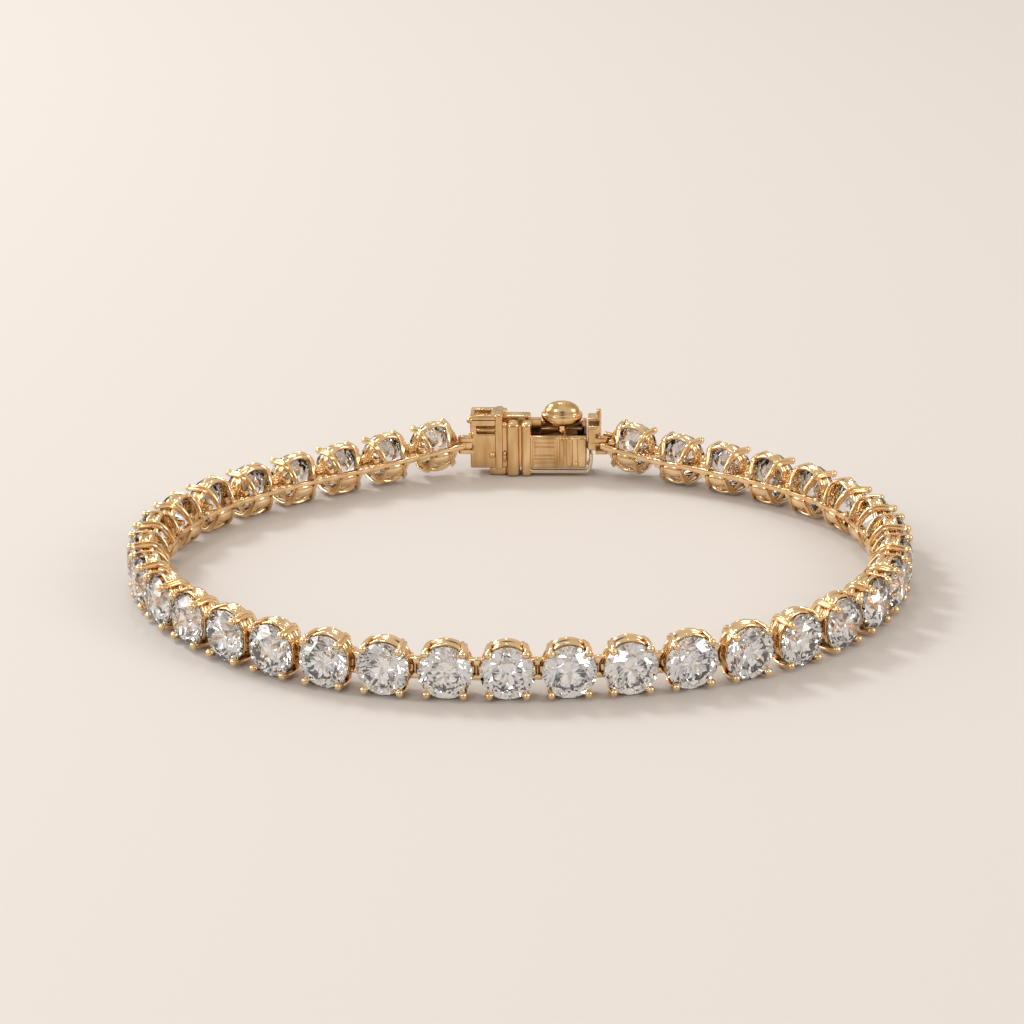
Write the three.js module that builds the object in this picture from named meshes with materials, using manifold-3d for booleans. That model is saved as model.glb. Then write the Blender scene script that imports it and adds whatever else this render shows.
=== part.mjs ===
// A line tennis bracelet: 35 round brilliants in four-prong baskets, hinged in a loop and closed
// by a box clasp. It stands on its edge, the stones facing outward, the clasp at the back (+Y).
import * as THREE from "three";
import { mergeVertices } from "three/addons/utils/BufferGeometryUtils.js";
import Module from "manifold-3d";

const wasm = await Module();
wasm.setup();

// Loop, along the line of the hinges, as a polar curve seen from above: the shares of the mean
// radius that the 2nd to 5th cosine and sine of the angle add
const loop = {
  meanRadius: 28.038,
  cosines: [-0.08837, -0.0157, 0.01339, -0.00902],
  sines: [-0.00514, 0.00275, -0.00146, -0.00598],
  frontShift: -0.086,
  lengthSteps: 4000,
};
const linksEachSide = 17;
const linkPitch = 4.7;

// Brilliant-cut stone, with a knife-edge girdle
const stone = {
  diameter: 4.4,
  tableShare: 0.57,
  crownHeight: 0.76,
  pavilionDepth: 1.92,
  starReach: 0.5,
  lowerReach: 0.25,
  girdleDepth: 2.1,
  mains: 8,
  turnStep: THREE.MathUtils.degToRad(17),
};

// Basket of one setting; depths are measured outward from the hinge line
const basket = {
  railSides: 10,
  railRadius: 2.28,
  railNeckRadius: 2.04,
  railInnerRadius: 1.8,
  railTop: 1.72,
  railBottom: 0.82,
  plateTop: -0.25,
  plateBottom: -0.7,
  plateHeight: 1.6,
  plateFlat: 0.75,
  plateWidth: 1.45,
  plateSide: 0.95,
  culetHoleRadius: 0.95,
  culetHoleSides: 6,
};

const prong = {
  angle: THREE.MathUtils.degToRad(49.5),
  foot: { radius: 1.5, depth: -0.3, half: 0.12 },
  shoulder: { radius: 2.5, depth: 2.2, half: 0.22 },
  tip: { radius: 2.2, depth: 2.72 },
};

// Hinges: a bar from basket to basket, and an eye between the ears of a fork where nodes meet
const hinge = {
  halfHeight: 0.88,
  barTop: -0.32,
  barBottom: -0.62,
  root: 1.3,
  earInner: 0.38,
  earOuter: 0.78,
  earBack: -0.45,
  earFront: 0.35,
  earReach: 0.35,
  pinRadius: 0.18,
  pinSides: 8,
  eyeRadius: 0.5,
  eyeBore: 0.32,
  eyeHalfHeight: 0.24,
  eyeNeck: 0.45,
};

// Lift of the hinge line beside the taller clasp, counted from the clasp's own hinge
const liftLeft = [1.0, 0.42, 0.1];
const liftRight = [1.0, 0.25, 0.05];

// Box clasp: X from the middle of the clasp, depth outward from the hinge line, Z from the floor
const clasp = {
  inner: 0.3,
  outer: 3.0,
  bottom: 0.85,
  blockLeft: -5.9,
  blockTop: 6.0,
  shoulderTop: 5.0,
  ribLeft: -3.6,
  ribRight: -2.88,
  ribTop: 6.1,
  proud: 0.12,
  bandLeft: -2.55,
  bandRight: -0.15,
  bandTop: 5.3,
  footRight: -1.0,
  boxRight: 4.95,
  innerWallTop: 4.0,
  outerWallTop: 5.6,
  wall: 0.4,
  cavityLeft: -2.2,
  cavityTop: 4.3,
  notchLeft: 0.6,
  notchRight: 4.7,
  grooveWidth: 0.16,
  grooveDepth: 0.14,
  rivetRadius: 0.32,
};
const claspSlot = {
  left: -5.3,
  right: -3.8,
  bottom: 4.15,
  top: 4.95,
  depth: 0.6,
  barBottom: 4.42,
  barTop: 4.68,
};
const claspRecess = { left: -5.5, right: -4.0, inset: 0.7, floor: 5.7 };
const claspGrooves = [-1.26, 2.55, 3.8];
const claspRivet = { x: -3.95, z: 2.1 };
const claspLug = { left: -4.15, right: -2.3, inset: 0.45, bottom: 0.15 };

const tongue = {
  plateLeft: 5.05,
  plateRight: 6.3,
  plateBottom: 2.62,
  plateTop: 6.05,
  bladeEdge: 0.2,
  bladeLeft: -1.8,
  bladeTop: 2.9,
  leafThickness: 0.3,
  leafLow: [-1.65, 2.85],
  leafHigh: [4.1, 3.95],
};

const button = {
  x: 2.65,
  bottom: 4.72,
  radius: 1.95,
  oval: 0.68,
  sides: 12,
  undersideShare: 0.5,
  profile: [[0.86, 0.42], [1, 0.95], [0.98, 1.3], [0.8, 1.82], [0.45, 2.2]],
  topHeight: 2.31,
  stemRadius: 0.42,
  stemBottom: 3.42,
  stemSides: 8,
  stemClearance: 0.14,
};

const safety = {
  wireRadius: 0.18,
  wireSides: 6,
  steps: 24,
  pivotX: -0.55,
  pivotZ: 0.5,
  barrelRadius: 0.42,
  barrelBore: 0.28,
  barrelSides: 10,
  barrelInset: 0.65,
  tipReach: 0.3,
  runInset: 0.18,
  crossX: 5.36,
  crossZ: 2.16,
  bend: 0.5,
};

// Metal and stone finishes
const goldFinish = { color: 0xd9a866, roughness: 0.22, metalness: 1.0 };
const stoneFinish = { color: 0xf1f2f6, roughness: 0.03, metalness: 0.0 };

const up = new THREE.Vector3(0, 0, 1);
const stoneRadius = stone.diameter / 2;
const chainHeight = basket.railRadius;
const claspMiddle = (clasp.inner + clasp.outer) / 2;
const barrelStart = clasp.inner + safety.barrelInset;
const barrelEnd = clasp.outer - safety.barrelInset;

class HingeLine extends THREE.Curve {
  getPoint(share, target = new THREE.Vector3()) {
    const angle = share * 2 * Math.PI;
    let swell = 1;
    loop.cosines.forEach((cosine, term) => {
      const turn = (term + 2) * angle;
      swell += cosine * Math.cos(turn) + loop.sines[term] * Math.sin(turn);
    });
    const radius = loop.meanRadius * swell;
    return target.set(radius * Math.sin(angle), -radius * Math.cos(angle), 0);
  }
}

const hingeLine = new HingeLine();
hingeLine.arcLengthDivisions = loop.lengthSteps;
const loopLength = hingeLine.getLength();
const weldDistance = 1e-4;
const cutMargin = 1;

function toSolid(geometry) {
  const bare = geometry.index ? geometry.toNonIndexed() : geometry.clone();
  bare.deleteAttribute("normal");
  bare.deleteAttribute("uv");
  const merged = mergeVertices(bare, weldDistance);
  const vertProperties = new Float32Array(merged.attributes.position.array);
  const triVerts = new Uint32Array(merged.index.array);
  return new wasm.Manifold(new wasm.Mesh({ numProp: 3, vertProperties, triVerts }));
}

function toGeometry(solid) {
  const mesh = solid.getMesh();
  const geometry = new THREE.BufferGeometry();
  geometry.setAttribute("position", new THREE.BufferAttribute(mesh.vertProperties, 3));
  geometry.setIndex(new THREE.BufferAttribute(mesh.triVerts, 1));
  return geometry;
}

function join(geometries) {
  let solid = toSolid(geometries[0]);
  for (const geometry of geometries.slice(1)) {
    solid = solid.add(toSolid(geometry));
  }
  return solid;
}

// A block between its low corner and its high corner
function block(low, high) {
  const size = high.map((value, axis) => value - low[axis]);
  const centre = high.map((value, axis) => (value + low[axis]) / 2);
  return new THREE.BoxGeometry(...size).translate(...centre);
}

// An upright post, a prism with its axis along Z
function post(x, y, bottom, top, radius, sides) {
  const geometry = new THREE.CylinderGeometry(radius, radius, top - bottom, sides);
  return geometry.rotateX(Math.PI / 2).translate(x, y, (bottom + top) / 2);
}

// A brilliant: rings of corners from the table down to the culet, joined facet by facet.
// Its axis is Y, and the table faces -Y, the outward side of the front link.
function brilliantGeometry() {
  const tableRadius = stoneRadius * stone.tableShare;
  const halfStep = Math.PI / stone.mains;
  const flat = Math.cos(halfStep);
  const starRadius = tableRadius + stone.starReach * (stoneRadius - tableRadius);
  const starFall = (starRadius * flat - tableRadius) / (stoneRadius - tableRadius);
  const lowerRadius = stoneRadius * stone.lowerReach;
  const lowerHeight = stone.pavilionDepth * (lowerRadius * flat / stoneRadius - 1);
  const corners = [];
  const ring = (count, radius, height, start) => {
    const first = corners.length / 3;
    for (let corner = 0; corner < count; corner += 1) {
      const angle = start + corner * 2 * Math.PI / count;
      corners.push(radius * Math.cos(angle), -height, radius * Math.sin(angle));
    }
    return (corner) => first + (corner + count) % count;
  };
  const table = ring(stone.mains, tableRadius, stone.crownHeight, 0);
  const star = ring(stone.mains, starRadius, stone.crownHeight * (1 - starFall), halfStep);
  const girdle = ring(2 * stone.mains, stoneRadius, 0, 0);
  const lower = ring(stone.mains, lowerRadius, lowerHeight, halfStep);
  const culet = ring(1, 0, -stone.pavilionDepth, 0);
  const facets = [];
  for (let main = 0; main < stone.mains; main += 1) {
    const left = 2 * main;
    if (main > 0 && main < stone.mains - 1) {
      facets.push([table(0), table(main), table(main + 1)]);
    }
    facets.push([table(main), star(main), table(main + 1)]);
    facets.push([table(main), star(main - 1), girdle(left)]);
    facets.push([table(main), girdle(left), star(main)]);
    facets.push([culet(0), lower(main), girdle(left)]);
    facets.push([culet(0), girdle(left), lower(main - 1)]);
    for (const side of [left, left + 1]) {
      facets.push([star(main), girdle(side), girdle(side + 1)]);
      facets.push([girdle(side), lower(main), girdle(side + 1)]);
    }
  }
  const geometry = new THREE.BufferGeometry();
  geometry.setAttribute("position", new THREE.Float32BufferAttribute(corners, 3));
  geometry.setIndex(facets.flat());
  return geometry;
}

// The gallery rail under the girdle: a ring of triangular section about the stone's axis
function railGeometry() {
  const outline = [
    [basket.railRadius, basket.railTop],
    [basket.railNeckRadius, basket.railBottom],
    [basket.railInnerRadius, basket.railBottom],
    [basket.railRadius, basket.railTop],
  ];
  const points = outline.map(([radius, depth]) => new THREE.Vector2(radius, -depth));
  return new THREE.LatheGeometry(points, basket.railSides);
}

// The pierced plate under the stone, an outline in X and Z with the culet's hole
function plateGeometry() {
  const { plateWidth, plateSide, plateFlat, plateHeight } = basket;
  const corners = [
    [plateWidth, plateSide],
    [plateFlat, plateHeight],
    [-plateFlat, plateHeight],
    [-plateWidth, plateSide],
    [-plateWidth, -plateSide],
    [-plateFlat, -plateHeight],
    [plateFlat, -plateHeight],
    [plateWidth, -plateSide],
  ];
  const outline = new THREE.Shape(corners.map(([x, z]) => new THREE.Vector2(x, z)));
  const hole = [];
  for (let corner = 0; corner < basket.culetHoleSides; corner += 1) {
    const angle = (corner + 0.5) * 2 * Math.PI / basket.culetHoleSides;
    const spoke = new THREE.Vector2(Math.cos(angle), Math.sin(angle));
    hole.push(spoke.multiplyScalar(basket.culetHoleRadius));
  }
  outline.holes.push(new THREE.Path(hole));
  const depth = basket.plateTop - basket.plateBottom;
  const plate = new THREE.ExtrudeGeometry(outline, { depth, bevelEnabled: false });
  return plate.rotateX(Math.PI / 2).translate(0, -basket.plateBottom, 0);
}

// A claw: a square bar that widens from its foot to its shoulder, with a tip bent over the stone
function prongGeometry(across, rise) {
  const radial = new THREE.Vector3(across * Math.cos(prong.angle), 0, rise * Math.sin(prong.angle));
  const around = new THREE.Vector3(radial.z, 0, -radial.x);
  const outward = new THREE.Vector3(0, -1, 0);
  const at = (radius, depth, side) => radial.clone().multiplyScalar(radius)
    .addScaledVector(around, side)
    .addScaledVector(outward, depth);
  const square = ({ radius, depth, half }) => [
    at(radius - half, depth, -half),
    at(radius + half, depth, -half),
    at(radius + half, depth, half),
    at(radius - half, depth, half),
  ];
  const corners = [
    ...square(prong.foot),
    ...square(prong.shoulder),
    at(prong.tip.radius, prong.tip.depth, 0),
  ];
  const tipCorner = corners.length - 1;
  const faces = [[0, 1, 2], [0, 2, 3]];
  for (let side = 0; side < 4; side += 1) {
    const next = (side + 1) % 4;
    faces.push([side, side + 4, next + 4], [side, next + 4, next], [side + 4, tipCorner, next + 4]);
  }
  const geometry = new THREE.BufferGeometry();
  const numbers = corners.flatMap((corner) => corner.toArray());
  geometry.setAttribute("position", new THREE.Float32BufferAttribute(numbers, 3));
  geometry.setIndex(faces.flat());
  return geometry;
}

// One setting of the front of the loop, its stone's axis along Y at height 0
function settingGeometry() {
  const quarters = [[1, 1], [1, -1], [-1, -1], [-1, 1]];
  const claws = quarters.map(([across, rise]) => prongGeometry(across, rise));
  return toGeometry(join([railGeometry(), plateGeometry(), ...claws]));
}

// The plain bar of a hinge between two baskets, centred on the hinge point
function hingeBarGeometry() {
  const reach = linkPitch / 2 - hinge.root;
  return block(
    [-reach, -hinge.barTop, -hinge.halfHeight],
    [reach, -hinge.barBottom, hinge.halfHeight]);
}

// A fork's two ears with their pin, the pin at X = 0 and the fork's root at X = rootX
function forkGeometries(rootX) {
  const left = Math.min(rootX, -hinge.earReach * Math.sign(rootX));
  const right = Math.max(rootX, -hinge.earReach * Math.sign(rootX));
  const ears = [[hinge.earInner, hinge.earOuter], [-hinge.earOuter, -hinge.earInner]];
  const middle = (hinge.earInner + hinge.earOuter) / 2;
  return [
    ...ears.map(([low, high]) => block([left, -hinge.earFront, low], [right, -hinge.earBack, high])),
    post(0, 0, -middle, middle, hinge.pinRadius, hinge.pinSides),
  ];
}

// An eye bored for the pin at X = 0, with a neck back to the basket at X = rootX
function eyeGeometry(rootX) {
  const low = -hinge.eyeHalfHeight;
  const high = hinge.eyeHalfHeight;
  const near = (hinge.eyeBore + hinge.eyeRadius) / 2 * Math.sign(rootX);
  const neck = block(
    [Math.min(rootX, near), -hinge.pinRadius, low],
    [Math.max(rootX, near), hinge.eyeNeck, high]);
  const boss = post(0, 0, low, high, hinge.eyeRadius, hinge.pinSides);
  const bore = post(0, 0, 2 * low, 2 * high, hinge.eyeBore, hinge.pinSides);
  return toGeometry(join([neck, boss]).subtract(toSolid(bore)));
}

// The hinge points, numbered from 0 at the clasp's left end to 35 at its right end
function hingePoints() {
  const points = [];
  const count = 2 * linksEachSide + 2;
  for (let index = 0; index < count; index += 1) {
    const along = (index - count / 2 + 0.5) * linkPitch + loop.frontShift;
    const share = (along / loopLength + 1) % 1;
    const point = hingeLine.getPointAt(share);
    const lift = (liftLeft[index] ?? 0) + (liftRight[count - 1 - index] ?? 0);
    points.push(point.setZ(chainHeight + lift));
  }
  return points;
}

// A frame with X along the chain, -Y outward and Z up, from the chord between two points
function chainFrame(origin, from, to) {
  const along = to.clone().sub(from).normalize();
  const inward = new THREE.Vector3().crossVectors(up, along).normalize();
  const rise = new THREE.Vector3().crossVectors(along, inward);
  return new THREE.Matrix4().makeBasis(along, inward, rise).setPosition(origin);
}

const hinges = hingePoints();
const linkCount = hinges.length - 1;
const halfPitch = linkPitch / 2;

function linkFrame(index) {
  const from = hinges[index];
  const to = hinges[index + 1];
  return chainFrame(from.clone().add(to).multiplyScalar(0.5), from, to);
}

// Links first to last in one body, with a fork or an eye at either end
function chainGeometry(first, last, startEnd, finishEnd) {
  const setting = settingGeometry();
  const hingeBar = hingeBarGeometry();
  const pieces = [];
  for (let index = first; index <= last; index += 1) {
    pieces.push(setting.clone().applyMatrix4(linkFrame(index)));
    if (index < last) {
      const frame = chainFrame(hinges[index + 1], hinges[index], hinges[index + 2]);
      pieces.push(hingeBar.clone().applyMatrix4(frame));
    }
  }
  const rootX = halfPitch - hinge.root;
  const ends = { eye: (root) => [eyeGeometry(root)], fork: forkGeometries };
  const startPieces = ends[startEnd](rootX);
  const finishPieces = ends[finishEnd](-rootX);
  const startFrame = linkFrame(first).multiply(new THREE.Matrix4().makeTranslation(-halfPitch, 0, 0));
  const finishFrame = linkFrame(last).multiply(new THREE.Matrix4().makeTranslation(halfPitch, 0, 0));
  pieces.push(...startPieces.map((piece) => piece.applyMatrix4(startFrame)));
  pieces.push(...finishPieces.map((piece) => piece.applyMatrix4(finishFrame)));
  return toGeometry(join(pieces));
}

// A block of the clasp between two X values, two depths and two heights
function claspBlock(left, right, inner, outer, bottom, top) {
  return block([left, inner, bottom], [right, outer, top]);
}

function cut(solid, geometries) {
  return geometries.reduce((rest, geometry) => rest.subtract(toSolid(geometry)), solid);
}

// The box: end block, rib, band and the walled box that takes the tongue, soldered in one
function claspBoxGeometry() {
  const { inner, outer, bottom, proud, wall } = clasp;
  const above = clasp.ribTop + cutMargin;
  const hingeHeight = hinges[0].z;
  const fork = forkGeometries(clasp.blockLeft + wall - hinges[0].x)
    .map((piece) => piece.translate(hinges[0].x, 0, hingeHeight));
  const barrelOutline = [
    [safety.barrelBore, barrelStart],
    [safety.barrelRadius, barrelStart],
    [safety.barrelRadius, barrelEnd],
    [safety.barrelBore, barrelEnd],
    [safety.barrelBore, barrelStart],
  ];
  const barrel = new THREE.LatheGeometry(
    barrelOutline.map(([radius, depth]) => new THREE.Vector2(radius, depth)), safety.barrelSides)
    .translate(safety.pivotX, 0, safety.pivotZ);
  const rivet = new THREE.IcosahedronGeometry(clasp.rivetRadius, 0)
    .translate(claspRivet.x, inner, claspRivet.z);
  const ribMiddle = (clasp.ribLeft + clasp.ribRight) / 2;
  const walls = join([
    claspBlock(clasp.blockLeft, clasp.boxRight, inner, outer, bottom, clasp.innerWallTop),
    claspBlock(clasp.blockLeft, ribMiddle, inner, outer, bottom, clasp.blockTop),
    claspBlock(clasp.ribLeft, clasp.ribRight, inner - proud, outer + proud, bottom - proud, clasp.ribTop),
    claspBlock(ribMiddle, clasp.footRight, inner, outer, bottom, clasp.shoulderTop),
    claspBlock(clasp.bandLeft, clasp.bandRight, inner - proud, outer + proud, bottom, clasp.bandTop),
    claspBlock(clasp.bandLeft, clasp.footRight, inner - proud, outer + proud, 0, clasp.bandTop),
    claspBlock(clasp.footRight, clasp.boxRight, outer - wall, outer, bottom, clasp.outerWallTop),
    claspBlock(
      claspLug.left, claspLug.right,
      inner + claspLug.inset, outer - claspLug.inset, claspLug.bottom, bottom + wall),
    rivet,
    ...fork,
  ]);
  const grooves = claspGrooves.map((x) => claspBlock(
    x, x + clasp.grooveWidth,
    inner - cutMargin, inner + clasp.grooveDepth, bottom - cutMargin, above));
  const open = cut(walls, [
    claspBlock(
      clasp.cavityLeft, clasp.boxRight + cutMargin,
      inner + wall, outer - wall, bottom + wall, clasp.cavityTop),
    claspBlock(
      clasp.notchLeft, clasp.notchRight,
      inner + wall, outer + cutMargin, clasp.innerWallTop, above),
    claspBlock(
      claspSlot.left, claspSlot.right,
      inner - cutMargin, inner + claspSlot.depth, claspSlot.bottom, claspSlot.top),
    claspBlock(
      claspRecess.left, claspRecess.right,
      inner + claspRecess.inset, outer - claspRecess.inset, claspRecess.floor, above),
    ...grooves,
  ]);
  const slotBar = claspBlock(
    claspSlot.left - wall, claspSlot.right + wall,
    inner + claspSlot.depth / 2, inner + 2 * claspSlot.depth,
    claspSlot.barBottom, claspSlot.barTop);
  return toGeometry(open.add(toSolid(slotBar)).add(toSolid(barrel)));
}

// The tongue: end plate with its fork, the blade and the sprung leaf folded back over it
function tongueGeometry() {
  const { inner, outer, wall } = clasp;
  const last = hinges[hinges.length - 1];
  const fork = forkGeometries(tongue.plateRight - wall - last.x)
    .map((piece) => piece.translate(last.x, 0, last.z));
  const bladeInner = inner + wall + tongue.bladeEdge;
  const bladeOuter = outer - wall - tongue.bladeEdge;
  const [lowX, lowZ] = tongue.leafLow;
  const [highX, highZ] = tongue.leafHigh;
  const rise = Math.atan2(highZ - lowZ, highX - lowX);
  const leafLength = Math.hypot(highX - lowX, highZ - lowZ);
  const leaf = new THREE.BoxGeometry(leafLength, bladeOuter - bladeInner, tongue.leafThickness)
    .rotateY(-rise)
    .translate((lowX + highX) / 2, claspMiddle, (lowZ + highZ) / 2);
  const slotRadius = button.stemRadius + button.stemClearance;
  const stemHole = post(button.x, claspMiddle, tongue.bladeTop, button.bottom, slotRadius, button.stemSides);
  const body = join([
    claspBlock(tongue.plateLeft, tongue.plateRight, inner, outer, tongue.plateBottom, tongue.plateTop),
    claspBlock(
      tongue.bladeLeft, tongue.plateLeft + wall,
      bladeInner, bladeOuter, tongue.plateBottom, tongue.bladeTop),
    leaf,
    ...fork,
  ]);
  return toGeometry(cut(body, [stemHole]));
}

// The oval domed thumb button with the stem that presses the leaf down
function buttonGeometry() {
  const rim = button.profile.map(([share, height]) => new THREE.Vector2(share * button.radius, height));
  const underside = new THREE.Vector2(button.undersideShare * button.radius, 0);
  const profile = [new THREE.Vector2(0, 0), underside, ...rim, new THREE.Vector2(0, button.topHeight)];
  const dome = new THREE.LatheGeometry(profile, button.sides)
    .rotateX(Math.PI / 2)
    .scale(1, button.oval, 1)
    .translate(button.x, claspMiddle, button.bottom);
  const stemTop = button.bottom + button.stemRadius;
  const stem = post(button.x, claspMiddle, button.stemBottom, stemTop, button.stemRadius, button.stemSides);
  return toGeometry(join([dome, stem]));
}

// The safety catch: a wire bail that turns in the barrel and hooks up over the end of the box
function safetyGeometry() {
  const { pivotX, pivotZ, crossX, crossZ, bend } = safety;
  const runDepth = clasp.inner + safety.runInset;
  const side = (depth, inwardStep) => [
    [pivotX, depth + inwardStep, pivotZ],
    [pivotX, depth, pivotZ],
    [pivotX + bend, depth, pivotZ],
    [crossX - 2 * bend, depth, pivotZ],
    [crossX - bend / 2, depth, pivotZ + bend / 4],
    [crossX, depth, pivotZ + 2 * bend],
    [crossX, depth, crossZ - bend / 4],
    [crossX, depth + Math.sign(inwardStep) * bend / 2, crossZ],
  ];
  const farDepth = clasp.outer - safety.runInset;
  const tipStep = barrelStart + safety.tipReach - runDepth;
  const route = [...side(runDepth, tipStep), ...side(farDepth, -tipStep).reverse()];
  const path = new THREE.CatmullRomCurve3(
    route.map((place) => new THREE.Vector3(...place)), false, "centripetal");
  const section = new THREE.Shape();
  for (let corner = 0; corner < safety.wireSides; corner += 1) {
    const angle = corner * 2 * Math.PI / safety.wireSides;
    const place = [safety.wireRadius * Math.cos(angle), safety.wireRadius * Math.sin(angle)];
    if (corner === 0) {
      section.moveTo(...place);
    } else {
      section.lineTo(...place);
    }
  }
  section.closePath();
  return new THREE.ExtrudeGeometry(section, { steps: safety.steps, extrudePath: path });
}

function addMesh(group, name, geometry, finish) {
  const mesh = new THREE.Mesh(geometry, new THREE.MeshStandardMaterial(finish));
  mesh.name = name;
  group.add(mesh);
  return mesh;
}

// The clasp's own group, at the back of the loop on the line of its two hinges
function buildClasp() {
  const group = new THREE.Group();
  addMesh(group, "clasp_box", claspBoxGeometry(), goldFinish);
  addMesh(group, "clasp_tongue", tongueGeometry(), goldFinish);
  addMesh(group, "push_button", buttonGeometry(), goldFinish);
  addMesh(group, "safety_catch", safetyGeometry(), goldFinish);
  group.position.y = (hinges[0].y + hinges[hinges.length - 1].y) / 2;
  return group;
}

// Stones are numbered from the clasp's left end, round the front, to its right end
function buildStones() {
  const group = new THREE.Group();
  const cutStone = brilliantGeometry().translate(0, -stone.girdleDepth, 0);
  for (let index = 0; index < linkCount; index += 1) {
    const name = `stone_${String(index + 1).padStart(2, "0")}`;
    const turned = cutStone.clone().rotateY(index * stone.turnStep);
    const mesh = addMesh(group, name, turned, stoneFinish);
    mesh.applyMatrix4(linkFrame(index));
  }
  return group;
}

function buildChain() {
  const group = new THREE.Group();
  const leftHalf = chainGeometry(0, linksEachSide, "eye", "eye");
  const rightHalf = chainGeometry(linksEachSide + 1, linkCount - 1, "fork", "eye");
  addMesh(group, "setting_chain_left", leftHalf, goldFinish);
  addMesh(group, "setting_chain_right", rightHalf, goldFinish);
  return group;
}

const bracelet = new THREE.Group();
bracelet.add(buildChain(), buildStones(), buildClasp());

// The origin lies on the floor, under the middle of the whole bracelet
const extent = new THREE.Box3().setFromObject(bracelet, true);
const middle = extent.getCenter(new THREE.Vector3());
bracelet.position.set(-middle.x, -middle.y, -extent.min.z);

export default bracelet;
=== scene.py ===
import bmesh
import bpy
import numpy as np
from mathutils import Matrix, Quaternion, Vector


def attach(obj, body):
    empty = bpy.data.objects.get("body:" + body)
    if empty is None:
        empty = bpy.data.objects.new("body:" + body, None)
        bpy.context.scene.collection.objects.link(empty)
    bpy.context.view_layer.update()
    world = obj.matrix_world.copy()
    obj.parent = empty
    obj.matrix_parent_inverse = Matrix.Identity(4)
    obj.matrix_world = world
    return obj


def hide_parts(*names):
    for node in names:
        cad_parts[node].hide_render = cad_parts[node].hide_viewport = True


# A line bracelet of round brilliants on its edge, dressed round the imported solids.
# Sizes are written in millimetres and turned into metres when a mesh is made.
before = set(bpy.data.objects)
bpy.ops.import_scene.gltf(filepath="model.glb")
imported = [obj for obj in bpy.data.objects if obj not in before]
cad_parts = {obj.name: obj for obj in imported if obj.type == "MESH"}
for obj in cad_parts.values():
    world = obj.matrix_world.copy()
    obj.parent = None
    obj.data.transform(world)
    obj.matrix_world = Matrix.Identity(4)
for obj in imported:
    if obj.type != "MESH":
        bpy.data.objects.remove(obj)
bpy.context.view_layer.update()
millimetre = 0.001
smoothBelow = 38    # degrees between faces, above which an edge stays sharp
print("frame loaded:", len(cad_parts), "nodes")


# Surfaces as arrays: every shape is (points, quads, triangles).

def outward(shape):
    # six times the volume is the sum of a . (b x c) over the triangles; below zero, all faces turn
    points, quads, tris = shape
    fans = np.vstack([quads[:, [0, 1, 2]], quads[:, [0, 2, 3]], tris])
    a, b, c = points[fans[:, 0]], points[fans[:, 1]], points[fans[:, 2]]
    if np.einsum("ij,ij->", a, np.cross(b, c)) < 0:
        quads, tris = quads[:, ::-1], tris[:, ::-1]
    return points, quads, tris


def gridShape(rows, ring=False, tips=None):
    # rows[i, j] is point j of loop i; point j joins j + 1 and loop i joins i + 1. The last loop
    # joins the first when ring is set, and otherwise both end loops are fanned to a middle point.
    count, around = rows.shape[:2]
    i = np.arange(count if ring else count - 1)[:, None]
    j = np.arange(around)[None, :]
    up, right = (i + 1) % count, (j + 1) % around
    corners = np.broadcast_arrays(i * around + j, i * around + right,
                                  up * around + right, up * around + j)
    quads = np.stack(corners, axis=-1).reshape(-1, 4)
    points = rows.reshape(-1, 3)
    tris = np.empty((0, 3), int)
    if not ring:
        ends = tips if tips is not None else (rows[0].mean(axis=0), rows[-1].mean(axis=0))
        first, last = len(points), len(points) + 1
        points = np.vstack([points, ends])
        j, right = np.arange(around), (np.arange(around) + 1) % around
        top = (count - 1) * around
        tris = np.vstack([
            np.stack([np.full(around, first), right, j], axis=1),
            np.stack([np.full(around, last), top + j, top + right], axis=1)])
    return outward((points, quads, tris))


def together(shapes):
    # the point lists one after another, each shape's faces shifted by the points before it
    starts = np.concatenate([[0], np.cumsum([len(points) for points, _, _ in shapes])[:-1]])
    points = np.vstack([points for points, _, _ in shapes])
    quads = np.vstack([quads + start for (_, quads, _), start in zip(shapes, starts)])
    tris = np.vstack([tris + start for (_, _, tris), start in zip(shapes, starts)])
    return points, quads, tris


def placed(shape, axes, origin):
    # point = origin + x * first axis + y * second axis + z * third axis (the columns of axes)
    points, quads, tris = shape
    return outward((points @ np.asarray(axes).T + origin, quads, tris))


def curveThrough(knots, steps, closed=False):
    # Catmull-Rom: between knots b and c, with neighbours a and d, the point at t from 0 to 1 is
    # half of 2b + (c - a)t + (2a - 5b + 4c - d)t^2 + (3b - 3c + d - a)t^3
    knots = np.asarray(knots, float)
    if closed:
        a, b, c, d = (np.roll(knots, shift, axis=0) for shift in (1, 0, -1, -2))
    else:
        grown = np.vstack([2 * knots[0] - knots[1], knots, 2 * knots[-1] - knots[-2]])
        a, b, c, d = grown[:-3], grown[1:-2], grown[2:-1], grown[3:]
    t = (np.arange(steps) / steps)[None, :, None]
    a, b, c, d = (k[:, None, :] for k in (a, b, c, d))
    points = 0.5 * (2 * b + (c - a) * t + (2 * a - 5 * b + 4 * c - d) * t ** 2
                    + (3 * b - 3 * c + d - a) * t ** 3)
    points = points.reshape(-1, knots.shape[1])
    return points if closed else np.vstack([points, knots[-1]])


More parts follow.
